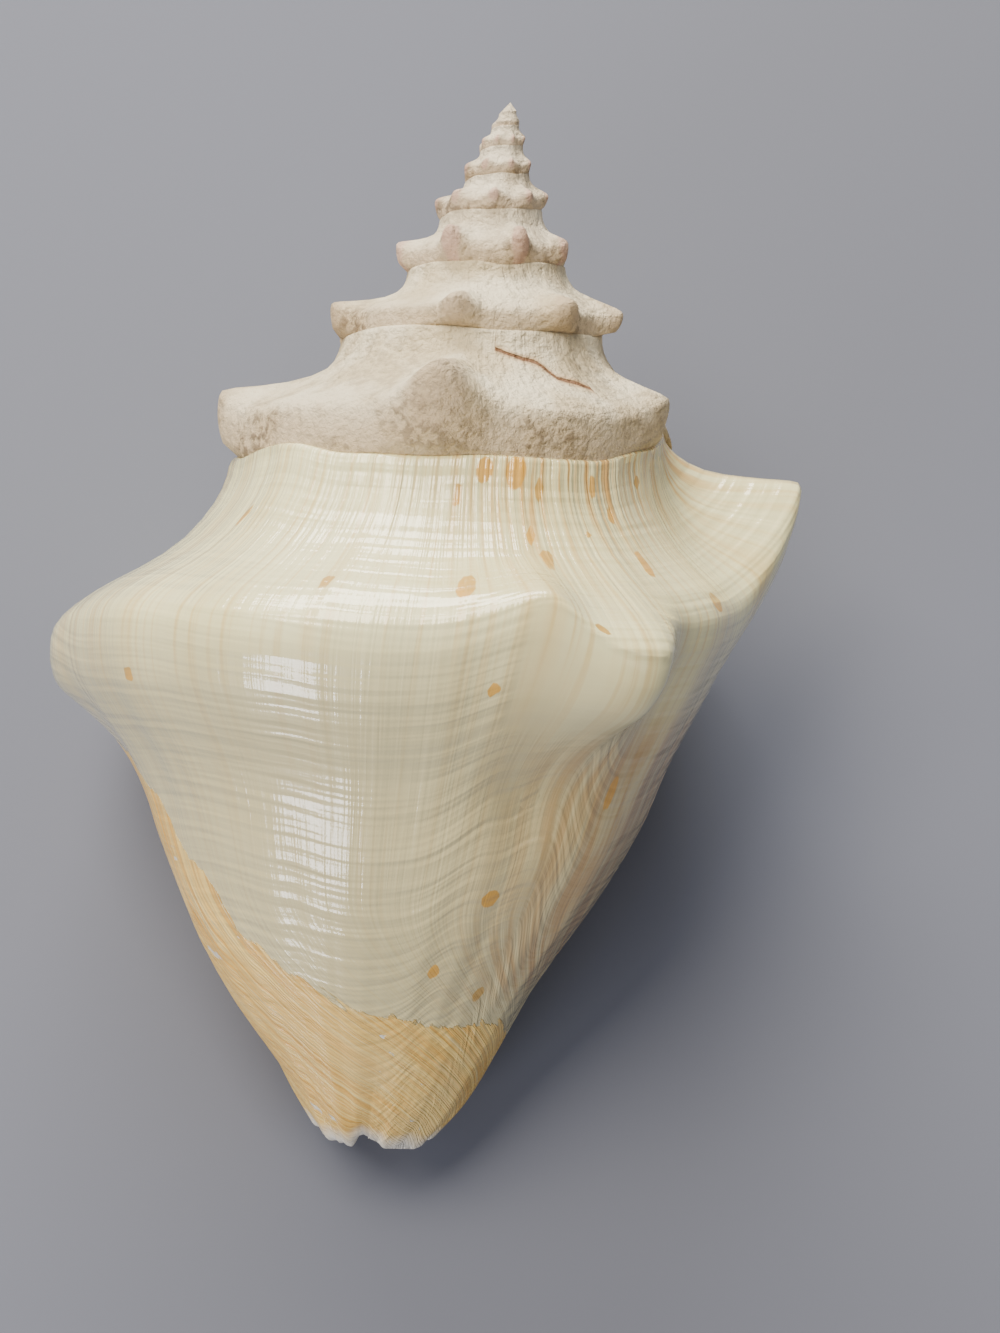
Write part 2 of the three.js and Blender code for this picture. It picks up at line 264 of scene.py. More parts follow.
# %% Rolled-out coordinates
law_turns = np.linspace(FIRST_TURN, LIP_TURN, 4000)
law_steps = np.diff(law_turns) * TAU * grown(SUTURE_RADIUS, law_turns[1:] + 0.8)
law_along = np.concatenate([[0], np.cumsum(law_steps)])
print("length of the shoulder, rolled out:", round(float(law_along[-1])), "mm")


def along_mm(turn):
    return np.interp(turn, law_turns, law_along)


# %% [markdown]
# ## Rolling the sheet
# The sheet is cut in steps of growth and rows of profile. The rows crowd together at the suture, where the
# edge is crisp, and at the shoulder. Every row is worked out first as numbers, so that two sheets that meet
# share exactly the same points.

# %% Steps and rows
STEPS = 300
UPPER = np.array([0, 0.012, 0.03, 0.06, 0.10, 0.16, 0.23, 0.31, 0.40, 0.49,
                  0.57, 0.64, 0.69, 0.74, 0.79, 0.83, 0.88, 0.94, 0.98, 1.0])
LOWER = 1 + np.linspace(0, 1, 59)[1:]
ROWS = np.concatenate([UPPER, LOWER])
SUTURE_ROW, LAST_ROW = len(UPPER) - 1, len(ROWS) - 1
FIRST_STEP = -round((LIP_TURN - 1 - FIRST_TURN) * STEPS)
CHAMBER_STEP = round((CHAMBER_END_TURN - LIP_TURN + 1) * STEPS)
CANAL_STEP = round((CANAL_OPEN_TURN - LIP_TURN + 1) * STEPS)
print("steps", STEPS - FIRST_STEP, "rows", LAST_ROW + 1)


def turn_at(step):
    return LIP_TURN - 1 + np.asarray(step) / STEPS


# %% [markdown]
# The growth relief moves each point out along the profile's own normal. The upper edge of each whorl laps a
# little way out over the whorl above, so the suture shows as a fine raised edge.

# %% Roughening
def roughened(turn, row, r, a, keep):
    down_profile = np.cumsum(np.hypot(np.diff(r, axis=1), np.diff(a, axis=1)), axis=1)
    across = np.concatenate([np.zeros((len(turn), 1)), down_profile], axis=1)
    dr, da = np.gradient(r, axis=1), np.gradient(a, axis=1)
    length = np.hypot(dr, da) + 1e-9
    push = relief(turn, along_mm(turn), across) * keep
    lap = 0.55 * np.clip(grown(SUTURE_RADIUS, turn) / BACK_RADIUS, 0.1, 1)
    push = push + lap * (ease(row / 0.012) * (1 - ease((row - 0.03) / 0.10)))
    return r + push * da / length, a - push * dr / length, across


def suture_wander(turn):
    # Millimetres down the axis. The last suture also sways up at the two sides of the shell.
    size = grown(SUTURE_RADIUS, turn) / BACK_RADIUS
    sway = -2.4 * np.cos(TAU * turn) ** 2 * ease((turn + 0.2) / 0.1)
    return (field(turn * 13, 0, 6) * 1.3 + field(turn * 29, 0, 7) * 0.4) * size + sway


def outer_sheet(first, last, rows):
    turn = turn_at(np.arange(first, last + 1))[:, None]
    row = rows[None, :]
    r, a = outside(turn, row)
    a = a + suture_wander(turn) * (1 - ease(row / 0.5))
    # 0 where the next whorl covers the lower edge, 1 where the edge runs on as the wall of the last whorl.
    loose = ease((turn - LIP_TURN + 1) * 12)
    a = a + np.where(row <= 1, suture_wander(turn + 1) * ease((row - 0.5) / 0.5), 0) * (1 - loose)
    # The relief fades out at an edge that two whorls share.
    edge = ease(row / 0.05) * np.where(row <= 1, ease((1 - row) / 0.08), 1)
    keep = np.where(row <= 1, mix(edge, ease(row / 0.05), loose), mix(ease((row - 1) / 0.05), 1, loose))
    return roughened(turn, row, r, a, keep)


# %% [markdown]
# There are two outer sheets: the spire, from suture to suture, and the last whorl, from its suture to the end
# of the canal. The end of the canal is broken back a little: its edge is thin, ragged and notched.

# %% Outer sheets
spire_r, spire_a, spire_across = outer_sheet(FIRST_STEP, 0, UPPER)
body_r, body_a, body_across = outer_sheet(0, STEPS, ROWS)
tip_turn = turn_at(np.arange(0, STEPS + 1))
ragged = field(tip_turn * 30, 0, 8) * 0.5 + field(tip_turn * 80, 0, 9) * 0.3
ragged = ragged + 1.6 * np.exp(-((tip_turn - 0.27) / 0.02) ** 2)
ragged = ragged * ease((tip_turn - 0.02) / 0.1)
near_tip = ease((ROWS - 1.9) / 0.1)[None, :]
body_a = body_a - ragged[:, None] * near_tip
print("spire sheet", spire_r.shape, "body sheet", body_r.shape)

# %% [markdown]
# The chamber has an outer wall, which is the inside of the last whorl, and an inner one, which is the column
# and the whorl before. The inner wall runs on smoothly into the outside of the shell just inside the lip.

# %% Chamber sheets
chamber_turn = turn_at(np.arange(CHAMBER_STEP, STEPS + 1))[:, None]
inner_r, inner_a = inside(*np.broadcast_arrays(chamber_turn, ROWS[None, :]))
inner_a[:, -1] -= ragged[CHAMBER_STEP:] * (chamber_turn[:, 0] >= CANAL_OPEN_TURN - 0.02)
COLUMN_ROWS = ROWS[SUTURE_ROW + 1:]
column_r, column_a = outside(chamber_turn - 1, COLUMN_ROWS[None, :], reach(chamber_turn))
column_r[-1], column_a[-1] = body_r[0, SUTURE_ROW + 1:], body_a[0, SUTURE_ROW + 1:]
fade = ease((chamber_turn - LIP_TURN + 0.05) / 0.05)
plain_r, plain_a = outside(LIP_TURN - 1, COLUMN_ROWS)
column_r[:-1] += (column_r[-1] - plain_r)[None, :] * fade[:-1]
column_a[:-1] += (column_a[-1] - plain_a)[None, :] * fade[:-1]
print("chamber sheet", inner_r.shape, "column sheet", column_r.shape)

# %% [markdown]
# The shell is worked out about its own axis. It lies rolled and pitched on its lip, one spine and the canal,
# so every point is turned the same way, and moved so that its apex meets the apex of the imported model.

# %% How the shell lies
ROLL, PITCH = np.radians(2.14), np.radians(21.04)
turn_over = Matrix.Rotation(PITCH, 3, "X") @ Matrix.Rotation(ROLL, 3, "Y")
LIE = np.array(turn_over)
packed_points = np.array([v.co[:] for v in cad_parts["conch_shell"].data.vertices])
APEX = packed_points[packed_points[:, 1].argmax()] * 1000
print("apex at", np.round(APEX, 2), "mm")


def placed(turn, r, a):
    # Metres, lying on the ground. The spire leans a little to one side.
    side = 1.5 * ease((a - 25) / 20) * ease((115 - a) / 30) - 0.6 * ease((40 - a) / 30)
    local = np.stack([r * np.cos(TAU * turn) + side, -a, r * np.sin(TAU * turn)], axis=-1)
    return (local @ LIE.T + APEX) / 1000


# %% [markdown]
# ## Coordinates for the finish
# The finish follows the growth of the shell, so each point carries pairs of numbers as UV maps. `lines` holds
# millimetres along and across the growth lines, and `whorl` the turn and the row. The others say how strong a
# mark is there: golden skin and dirt, stains and the crack, worn knobs and the tan flank, smooth and broken.

# %% Where the marks are
# Turn and row along the torn edge of the golden skin.
SKIN_EDGE = np.array([(-0.4, 1.95), (-0.05, 1.90), (0.02, 1.80), (0.10, 1.73), (0.15, 1.72), (0.21, 1.72),
                      (0.26, 1.69), (0.29, 1.67), (0.32, 1.64), (0.35, 1.60), (0.38, 1.55), (0.395, 1.47),
                      (0.42, 1.41), (0.435, 1.31), (0.46, 1.24), (0.50, 1.18), (0.54, 1.10), (0.60, 1.02)])
# Amber stains: turn, row, half width and half height in millimetres.
STAINS = [(0.195, 0.52, 2.0, 2.4), (0.182, 0.78, 1.6, 1.1), (0.163, 0.38, 1.5, 1.5), (0.203, 0.40, 1.2, 2.2),
          (0.152, 0.15, 1.0, 3.4), (0.138, 0.29, 1.1, 2.6), (0.252, 0.20, 1.1, 3.2), (0.236, 0.08, 2.2, 3.0),
          (0.214, 0.09, 2.6, 3.6), (0.196, 0.17, 1.4, 3.0), (0.097, 0.16, 1.6, 1.6), (0.128, 0.54, 1.5, 2.7),
          (0.084, 0.74, 2.2, 2.2), (0.302, 0.66, 1.7, 1.7), (0.238, 0.67, 1.8, 2.8), (0.401, 0.31, 1.1, 3.0),
          (0.398, 1.06, 1.4, 1.6), (0.187, 1.45, 2.4, 1.7), (0.213, 1.60, 1.8, 1.5), (0.160, 1.655, 2.6, 1.8),
          (0.122, 1.26, 1.2, 3.6), (0.219, 1.07, 1.0, 1.2)]
# Turn and row along the crack, from its newer end to its older one.
CRACK = np.array([(-0.760, 0.15), (-0.786, 0.21), (-0.813, 0.26), (-0.830, 0.37), (-0.866, 0.46)])
print(len(STAINS), "stains")

# %% [markdown]
# Growth lines are not straight down the profile, and a mark's size is needed in millimetres, so two small
# functions give the lean of the lines and the height of a row. NO_MARK stands for "far from any mark".

# %% Lines and heights
NO_MARK = 9.0
# The slanting profile is this much longer than the whorl is high. Below the suture it is about this long.
SLANT, LENGTH_BELOW_SUTURE, LENGTH_UNDER_SKIN = 1.2, 105, 95


def line_shift(row):
    # Growth lines lean a little down the ramp, and sweep round the end of the canal.
    return 4 * ease(row / 0.9) + 150 * np.clip((row - 1.45) / 0.55, 0, 1) ** 2


def row_height(turn, row):
    whorl = grown(SUTURE_DROP, turn + 1) - grown(SUTURE_DROP, turn)
    upper = whorl * SLANT
    return np.where(row < 1, upper * row, upper + LENGTH_BELOW_SUTURE * (row - 1))


def window(x, low, high, soft):
    # 1 between low and high, with soft edges.
    return ease((x - low) / soft + 0.5) * ease((high - x) / soft + 0.5)


# %% [markdown]
# A stain counts in its own half widths: 0 is its middle and 1 its edge. The crack gives each point's height
# above or below its line.

# %% Stains, crack and skin
def stain_distance(turn, along, height):
    nearest = np.full(np.shape(turn), NO_MARK)
    for at, on, wide, tall in STAINS:
        away = np.hypot((along - along_mm(at)) / wide, (height - row_height(at, on)) / tall)
        nearest = np.minimum(nearest, np.where(turn > -0.3, away, NO_MARK))
    return nearest


def crack_height(turn, height):
    cut_turn, cut_row = CRACK[::-1].T
    above = height - np.interp(turn, cut_turn, row_height(cut_turn, cut_row))
    return np.where((turn > cut_turn[0]) & (turn < cut_turn[-1]), above, NO_MARK)


def past_skin_edge(turn, row):
    # Millimetres past the torn edge. The spire has no skin left at all.
    past = (row - np.interp(turn, SKIN_EDGE[:, 0], SKIN_EDGE[:, 1])) * LENGTH_UNDER_SKIN
    return np.where(turn < LIP_TURN - 1, -50, past)


# %% [markdown]
# Last come the soft marks. Dirt settles under the shoulder of the old whorls, and their knobs are worn. The
# flank is the tan side below the shoulder. The smooth facet lies beside the large knob.

# %% All the pairs of numbers
def finish_coordinates(turn, row, across):
    along, height = along_mm(turn), row_height(turn, row)
    old = ease((-0.35 - turn) / 0.1)
    # One old spine stands clear of the suture, so no dirt has gathered on it.
    clean_spine = window(turn, -1.1, -0.99, 0.03)
    dirt = np.where(row <= 1, ease((row - 0.5) / 0.4), 0) * old * (1 - clean_spine)
    drop = mix(grown(SUTURE_DROP, turn), grown(SUTURE_DROP, turn + 1), np.clip(row, 0, 1))
    tip = np.clip(spine_push(turn, drop)[0] / grown(SUTURE_RADIUS, turn + 1) / 0.12, 0, 1) * old
    flank = ease((0.24 - turn) / 0.12) * ease((row - 1.08) / 0.12) * ease((1.72 - row) / 0.1)
    smooth = window(turn, 0.152, 0.212, 0.012) * window(row, 0.84, 1.13, 0.05)
    broken = ease((row - 1.972) / 0.02) * ease((turn + 0.2) / 0.1)
    pairs = {"lines": (along + line_shift(row), across), "whorl": (turn, row),
             "skin": (past_skin_edge(turn, row), dirt), "wear": (tip, flank), "calm": (smooth, broken),
             "marks": (stain_distance(turn, along, height), crack_height(turn, height))}
    return {name: np.stack(np.broadcast_arrays(*pair), axis=-1) for name, pair in pairs.items()}


# %% [markdown]
# ## Rolling each sheet
# Each sheet starts as a flat grid with one point for each step and row. Its points are then moved to where
# growth puts them, and the pairs of numbers are written on its corners. A shape that follows a formula at
# every point could not be pulled out of a primitive by hand.

# %% Roll a grid
def rolled(name, points, turn, row, across, finish):
    steps, rows = points.shape[:2]
    bpy.ops.object.select_all(action="DESELECT")
    bpy.ops.mesh.primitive_grid_add(x_subdivisions=steps - 1, y_subdivisions=rows - 1, size=1)
    sheet = bpy.context.object
    sheet.name = name
    mesh = sheet.data
    flat = np.empty(len(mesh.vertices) * 3)
    mesh.vertices.foreach_get("co", flat)
    flat = flat.reshape(-1, 3)
    i = np.rint((flat[:, 0] + 0.5) * (steps - 1)).astype(int)
    j = np.rint((flat[:, 1] + 0.5) * (rows - 1)).astype(int)
    mesh.vertices.foreach_set("co", points[i, j].ravel())
    corner = np.empty(len(mesh.loops), dtype=np.int32)
    mesh.loops.foreach_get("vertex_index", corner)
    turn, row, across = np.broadcast_arrays(turn, row, across)
    mesh.uv_layers[0].name = "lines"
    for label, pair in finish_coordinates(turn, row, across).items():
        layer = mesh.uv_layers.get(label) or mesh.uv_layers.new(name=label)
        layer.uv.foreach_set("vector", pair[i, j][corner].ravel())
    mesh.polygons.foreach_set("material_index", np.full(len(mesh.polygons), finish, dtype=np.int32))
    print(name, len(mesh.polygons), "faces")
    return sheet


# %% [markdown]
# The lower edge of a whorl is the upper edge of the next one, so those points are copied from one to the other
# before any sheet is made. Faces outside get the first finish, and faces inside the second.

# %% Roll all the sheets
OUTER_FACE, INNER_FACE = 0, 1
spire_turn = turn_at(np.arange(FIRST_STEP, 1))[:, None]
body_turn = turn_at(np.arange(0, STEPS + 1))[:, None]
spire_at = placed(spire_turn, spire_r, spire_a)
body_at = placed(body_turn, body_r, body_a)
inner_at = placed(chamber_turn, inner_r, inner_a)
column_at = placed(chamber_turn - 1, column_r, column_a)
column_at[-1] = body_at[0, SUTURE_ROW + 1:]
spire_at[:, -1] = np.concatenate([spire_at[:-1, 0], body_at[:, 0]])[STEPS:]
body_at[0, :SUTURE_ROW + 1] = spire_at[-1]
sheets = [
    rolled("spire", spire_at, spire_turn, UPPER[None, :], spire_across, OUTER_FACE),
    rolled("last_whorl", body_at, body_turn, ROWS[None, :], body_across, OUTER_FACE),
    rolled("chamber_wall", inner_at, chamber_turn, ROWS[None, :], body_across[CHAMBER_STEP:], INNER_FACE),
    rolled("column", column_at, chamber_turn - 1, COLUMN_ROWS[None, :],
           body_across[CHAMBER_STEP:, SUTURE_ROW + 1:], INNER_FACE),
]

# %% [markdown]
# The lip is not cut square. Its edge is a small rounded rim that runs from the suture down the lip and on
# round the broken end of the canal.

# %% Lip rim
RIM_BULGE, RIM_POINTS, RIM_CORNER = 0.0009, 5, 14
tip_steps = np.arange(STEPS - 1, CANAL_STEP - 1, -1)
rim_out = np.concatenate([body_at[-1], body_at[tip_steps, -1]])
rim_in = np.concatenate([inner_at[-1], inner_at[tip_steps - CHAMBER_STEP, -1]])
rim_turn = np.concatenate([np.full(len(ROWS), LIP_TURN), turn_at(tip_steps)])[:, None]
rim_row = np.concatenate([ROWS, np.full(len(tip_steps), 2.0)])[:, None]
forward = body_at[-1] - body_at[-2]
forward = forward / np.linalg.norm(forward, axis=1)[:, None]
down = np.tile(np.array([0, -1.0, 0]) @ LIE.T, (len(tip_steps), 1))
ahead = np.concatenate([forward, down])
place_on_rim = np.arange(len(rim_out))
turn_corner = ease((place_on_rim - len(ROWS) + RIM_CORNER) / RIM_CORNER)[:, None]
ahead = mix(ahead, np.tile(down[:1], (len(ahead), 1)), turn_corner)
bulge = RIM_BULGE * ease(place_on_rim / 4) * ease((len(rim_out) - 1 - place_on_rim) / 6)
share = np.linspace(0, 1, RIM_POINTS)
rim_at = mix(rim_out[:, None], rim_in[:, None], share[None, :, None])
rim_at = rim_at + ahead[:, None] * (np.sin(share * np.pi)[None, :] * bulge[:, None])[..., None]
sheets.append(rolled("lip_rim", rim_at, rim_turn, rim_row, np.zeros((1, RIM_POINTS)), OUTER_FACE))

# %% [markdown]
# Two narrow strips are left. One joins the chamber's outer wall to the column along the top, and the other is
# the floor of the chamber, up to where the canal opens.

# %% Close the chamber's corners
top_at = np.stack([column_at[:, 0], inner_at[:, 0]], axis=1)
low = CANAL_STEP - CHAMBER_STEP + 1
floor_at = np.stack([inner_at[:low, -1], column_at[:low, -1]], axis=1)
edges = np.zeros((1, 2))
sheets.append(rolled("chamber_corner", top_at, chamber_turn, edges, edges, INNER_FACE))
sheets.append(rolled("chamber_floor", floor_at, chamber_turn[:low], edges + 2, edges, INNER_FACE))

# %% [markdown]
# ## One closed skin
# The sheets are joined and their shared points welded. What stays open is the tiny first whorl at the apex,
# the end of the column and the far end of the chamber, and each of these holes gets a face of its own.

# %% Weld and close
WELD, CREASE, APEX_HEIGHT = 1e-6, np.radians(55), 0.9
bpy.ops.object.select_all(action="DESELECT")
for sheet in sheets:
    sheet.select_set(True)
bpy.context.view_layer.objects.active = sheets[1]
bpy.ops.object.join()
shell = bpy.context.object
shell.name = "shell_wall"
bpy.ops.object.mode_set(mode="EDIT")
bpy.ops.mesh.select_all(action="SELECT")
bpy.ops.mesh.remove_doubles(threshold=WELD)
bpy.ops.mesh.select_all(action="DESELECT")
bpy.ops.mesh.select_non_manifold(extend=False, use_wire=False, use_multi_face=False,
                                 use_non_contiguous=False, use_verts=False)
bpy.ops.mesh.fill_holes(sides=0)

# %% [markdown]
# The face over the first whorl is poked, which gives it a point in its middle, and that point is pulled up to
# make the apex. Then all the faces are turned outwards.

# %% Point the apex
bpy.ops.mesh.select_all(action="DESELECT")
bpy.ops.object.mode_set(mode="OBJECT")
# The crown is the many-sided face nearest the apex.
crown = max(shell.data.polygons, key=lambda face: (len(face.vertices) > 4) * (1 + face.center.y))
crown.select = True
bpy.ops.object.mode_set(mode="EDIT")
bpy.ops.mesh.poke()
bpy.ops.mesh.select_all(action="SELECT")
bpy.ops.mesh.normals_make_consistent(inside=False)
bpy.ops.object.mode_set(mode="OBJECT")
shell.data.vertices[-1].co = placed(0, 0.0, float(spire_a[0, 0]) - APEX_HEIGHT)
bpy.ops.object.shade_smooth_by_angle(angle=CREASE)

# %% [markdown]
# A closed skin has exactly two faces at every edge.

# %% Check that it is closed
probe = bmesh.new()
probe.from_mesh(shell.data)
loose = [e for e in probe.edges if len(e.link_faces) != 2]
triangles = sum(len(face.verts) - 2 for face in probe.faces)
print("shell", len(probe.verts), "points,", triangles, "triangles")
print("edges that are not shared by two faces:", len(loose))
print("volume", round(probe.calc_volume() * 1e6, 1), "cm3")
probe.free()

# %% [markdown]
# ## Colours and nodes
# Colours are written as sRGB hex, and one function makes them linear. One helper adds a node, fills or links
# its inputs in order and gives back its result. The settings that come again and again have names: SMOOTH is a
# soft step between two values, TIMES, PLUS and TIMES_PLUS are sums, and OVER lays one colour over another.

# %% Colour and node helpers
SMOOTH = {"interpolation_type": "SMOOTHSTEP"}
TIMES, PLUS, TIMES_PLUS = ({"operation": how} for how in ("MULTIPLY", "ADD", "MULTIPLY_ADD"))
OVER = {"data_type": "RGBA", "sockets": (0, 6, 7), "result": 2}
VALUES = {"data_type": "FLOAT", "sockets": (0, 2, 3)}
NOISE = {"sockets": ("Vector", "Scale", "Detail", "Roughness", "Distortion")}
BUMP = {"sockets": ("Strength", "Distance", "Height")}
GLOSSY = {"sockets": ("Base Color", "Roughness", "Normal", "Coat Weight", "Coat Roughness", "IOR",
                      "Coat Normal")}
# Shell is a little denser to light than glass, and relief heights are given in millimetres.
ARAGONITE_IOR, ONE_MM = 1.53, 0.001


def colour(code):
    parts = [int(code[k:k + 2], 16) / 255 for k in (1, 3, 5)]
    return [p / 12.92 if p <= 0.04045 else ((p + 0.055) / 1.055) ** 2.4 for p in parts] + [1.0]


def node(tree, kind, *values, sockets=None, result=0, **settings):
    made = tree.nodes.new("ShaderNode" + kind)
    for key, value in settings.items():
        setattr(made, key, value)
    for key, value in zip(sockets or range(len(values)), values):
        if isinstance(value, bpy.types.NodeSocket):
            tree.links.new(value, made.inputs[key])
        else:
            made.inputs[key].default_value = value
    return made.outputs[result] if made.outputs else made


def new_finish(name):
    finish = bpy.data.materials.new(name)
    finish.use_nodes = True
    finish.node_tree.nodes.clear()
    return finish, finish.node_tree


# %% [markdown]
# ## The outside: weathered aragonite under a polish
# Shell is layered aragonite, a hard chalk. On the last whorl it is dense and has been polished, so it shines
# like porcelain over fine growth lines. The old spire has lost its surface and is dull, tan and pitted.
# Patterns that follow growth are read on the rolled-out sheet, in millimetres. Dirt, clouds and pits do not
# follow growth, so they are read in space, where clouds are about 40 mm across, mottles 11 mm and pits 2 mm.

# %% Outside: the numbers it reads
aragonite, tree = new_finish("weathered_aragonite")
CLOUDS_A_METRE, MOTTLES_A_METRE, PITS_A_METRE = 26.0, 90.0, 520.0


def uv_pair(tree, name):
    first = node(tree, "SeparateXYZ", node(tree, "UVMap", uv_map=name))
    return first, first.node.outputs[1]


def stretched(tree, along, across, detail=3.0, offset=0.0, bend=0.0):
    # Noise on the rolled-out sheet: so many waves a millimetre along and across the growth lines.
    spread = node(tree, "Mapping", node(tree, "UVMap", uv_map="lines"), (offset, offset * 0.7, 0),
                  (along, across, 1), sockets=(0, 1, 3))
    return node(tree, "TexNoise", spread, 1.0, detail, 0.5, bend, **NOISE)


turn_v, row_v = uv_pair(tree, "whorl")
past_v, dirt_v = uv_pair(tree, "skin")
stain_v, crack_v = uv_pair(tree, "marks")
tip_v, flank_v = uv_pair(tree, "wear")
calm_v, broken_v = uv_pair(tree, "calm")
place = node(tree, "TexCoord", result="Object")
cloud = node(tree, "TexNoise", place, CLOUDS_A_METRE, 3.0, **NOISE)
mottle = node(tree, "TexNoise", place, MOTTLES_A_METRE, 4.0, **NOISE)
pits = node(tree, "TexNoise", place, PITS_A_METRE, 5.0, 0.6, **NOISE)
polished = node(tree, "MapRange", turn_v, -0.402, -0.398, **SMOOTH)
print("the finish reads", len([n for n in tree.nodes if n.type == "UVMAP"]), "pairs of numbers")

# %% [markdown]
# The last whorl is ivory. Tan growth streaks run down from the suture. Below the shoulder it turns a darker,
# warmer beige, which is painted shade: the lower whorl gets less light than the ramp, and that dimmer tone is
# put into its colour.

# %% Outside: ivory and its streaks
clouded = node(tree, "MapRange", cloud, 0.35, 0.65, **SMOOTH)
ivory = node(tree, "Mix", clouded, colour("#f7f3c0"), colour("#e9e2ac"), **OVER)
thin_streaks = node(tree, "MapRange", stretched(tree, 0.75, 0.012, 3.0, 31), 0.48, 0.68, 0, 0.45, **SMOOTH)
ivory = node(tree, "Mix", thin_streaks, ivory, colour("#d6ab5c"), **OVER)
wide_streaks = node(tree, "MapRange", stretched(tree, 0.11, 0.010, 4.0, 57), 0.52, 0.72, 0, 0.40, **SMOOTH)
ivory = node(tree, "Mix", wide_streaks, ivory, colour("#dcb367"), **OVER)
# Painted shade: below the shoulder the ivory is made a darker beige, the tone of the whorl where less light
# falls on it.
painted_shade_below_shoulder = node(tree, "MapRange", row_v, 0.85, 1.15, 0, 0.75, **SMOOTH)
ivory = node(tree, "Mix", painted_shade_below_shoulder, ivory, colour("#d8ca98"), **OVER)

# %% [markdown]
# The older side of the last whorl has tan lines on its ramp and a brown flank. A few amber stains have soaked
# in where the horny skin came off last. The mottle makes their edges uneven.

# %% Outside: tan lines, flank and stains
on_ramp = node(tree, "MapRange", row_v, 0.75, 0.1, **SMOOTH)
older_turns = node(tree, "MapRange", turn_v, 0.30, 0.20, **SMOOTH)
tan_lines = node(tree, "MapRange", stretched(tree, 0.60, 0.03, 4.0, 9, 0.3), 0.44, 0.64, 0, 0.8, **SMOOTH)
for mask in (on_ramp, older_turns):
    tan_lines = node(tree, "Math", tan_lines, mask, **TIMES)
ivory = node(tree, "Mix", tan_lines, ivory, colour("#d99f3f"), **OVER)
flank_lines = node(tree, "MapRange", stretched(tree, 0.30, 0.035, 4.0, 77), 0.36, 0.62, 0.1875, 0.75, **SMOOTH)
flank_lines = node(tree, "Math", flank_lines, flank_v, **TIMES)
ivory = node(tree, "Mix", flank_lines, ivory, colour("#b98b50"), **OVER)
uneven = node(tree, "Math", mottle, 0.9, stain_v, **TIMES_PLUS)
stained = node(tree, "MapRange", uneven, 1.53, 1.37, 0, 0.85, **SMOOTH)
amber = node(tree, "Mix", node(tree, "MapRange", mottle, 0.4, 0.6, **SMOOTH),
             colour("#e0a32c"), colour("#c99a3c"), **OVER)
ivory = node(tree, "Mix", stained, ivory, amber, **OVER)

# %% [markdown]
# The spire is chalky, tan where the wall hangs over the suture, and grey-brown where dirt has settled in its
# pits. Grime shows only where pits, mottles and clouds all agree, so it comes in ragged patches.

# %% Outside: chalk and dirt
patchy = node(tree, "MapRange", mottle, 0.35, 0.65, **SMOOTH)
chalk = node(tree, "Mix", patchy, colour("#f1e6c9"), colour("#dacaa6"), **OVER)
small_whorls = node(tree, "MapRange", turn_v, -1.6, -3.2, 0, 0.5, **SMOOTH)
chalk = node(tree, "Mix", small_whorls, chalk, colour("#e2d6c4"), **OVER)
chalk = node(tree, "Mix", node(tree, "Math", dirt_v, 0.6, **TIMES), chalk, colour("#c9ad88"), **OVER)
grime = node(tree, "MapRange", pits, 0.43, 0.58, 0, 0.85, **SMOOTH)
in_mottles = node(tree, "MapRange", mottle, 0.38, 0.57, **SMOOTH)
in_clouds = node(tree, "MapRange", cloud, 0.36, 0.52, **SMOOTH)
low_down = node(tree, "MapRange", dirt_v, 0.0, 0.8, 0.35, 1.0, **SMOOTH)
for mask in (in_mottles, in_clouds, low_down):
    grime = node(tree, "Math", grime, mask, **TIMES)
chalk = node(tree, "Mix", grime, chalk, colour("#7f6d54"), **OVER)
dust = node(tree, "MapRange", cloud, 0.48, 0.66, 0, 0.4, **SMOOTH)
dust = node(tree, "Math", dust, dirt_v, **TIMES)
chalk = node(tree, "Mix", dust, chalk, colour("#a98d66"), **OVER)

# %% [markdown]
# The knobs are worn: rosy on the small whorls, tan on the large ones. One crack crosses the ramp of the last
# spire whorl. Its height above or below the crack's line is known at each point, so the crack is where that
# height, shaken a little by the mottle, is nearly nothing.

# %% Outside: worn knobs and the crack
worn = node(tree, "MapRange", tip_v, 0.6, 1.0, 0, 0.55, **SMOOTH)
large_whorls = node(tree, "MapRange", turn_v, -2.02, -1.98, **SMOOTH)
worn_colour = node(tree, "Mix", large_whorls, colour("#d3a898"), colour("#c2ab8c"), **OVER)
chalk = node(tree, "Mix", worn, chalk, worn_colour, **OVER)
shaken = node(tree, "Math", mottle, 2.4, -1.2, **TIMES_PLUS)
off_line = node(tree, "Math", node(tree, "Math", crack_v, shaken, **PLUS), operation="ABSOLUTE")
cracked = node(tree, "MapRange", off_line, 0.55, 0.25, **SMOOTH)
crack_stain = node(tree, "MapRange", off_line, 1.6, 0.3, 0, 0.6, **SMOOTH)
chalk = node(tree, "Mix", crack_stain, chalk, colour("#b98a5c"), **OVER)
chalk = node(tree, "Mix", cracked, chalk, colour("#7b5636"), **OVER)
base = node(tree, "Mix", polished, chalk, ivory, **OVER)

# %% [markdown]
# ## The golden skin
# A living conch is covered by a thin horny skin, the periostracum. Most of it has been cleaned off. What is
# left is a golden, slightly rough coat of fine fibres round the canal, and its edge is torn and flaky.

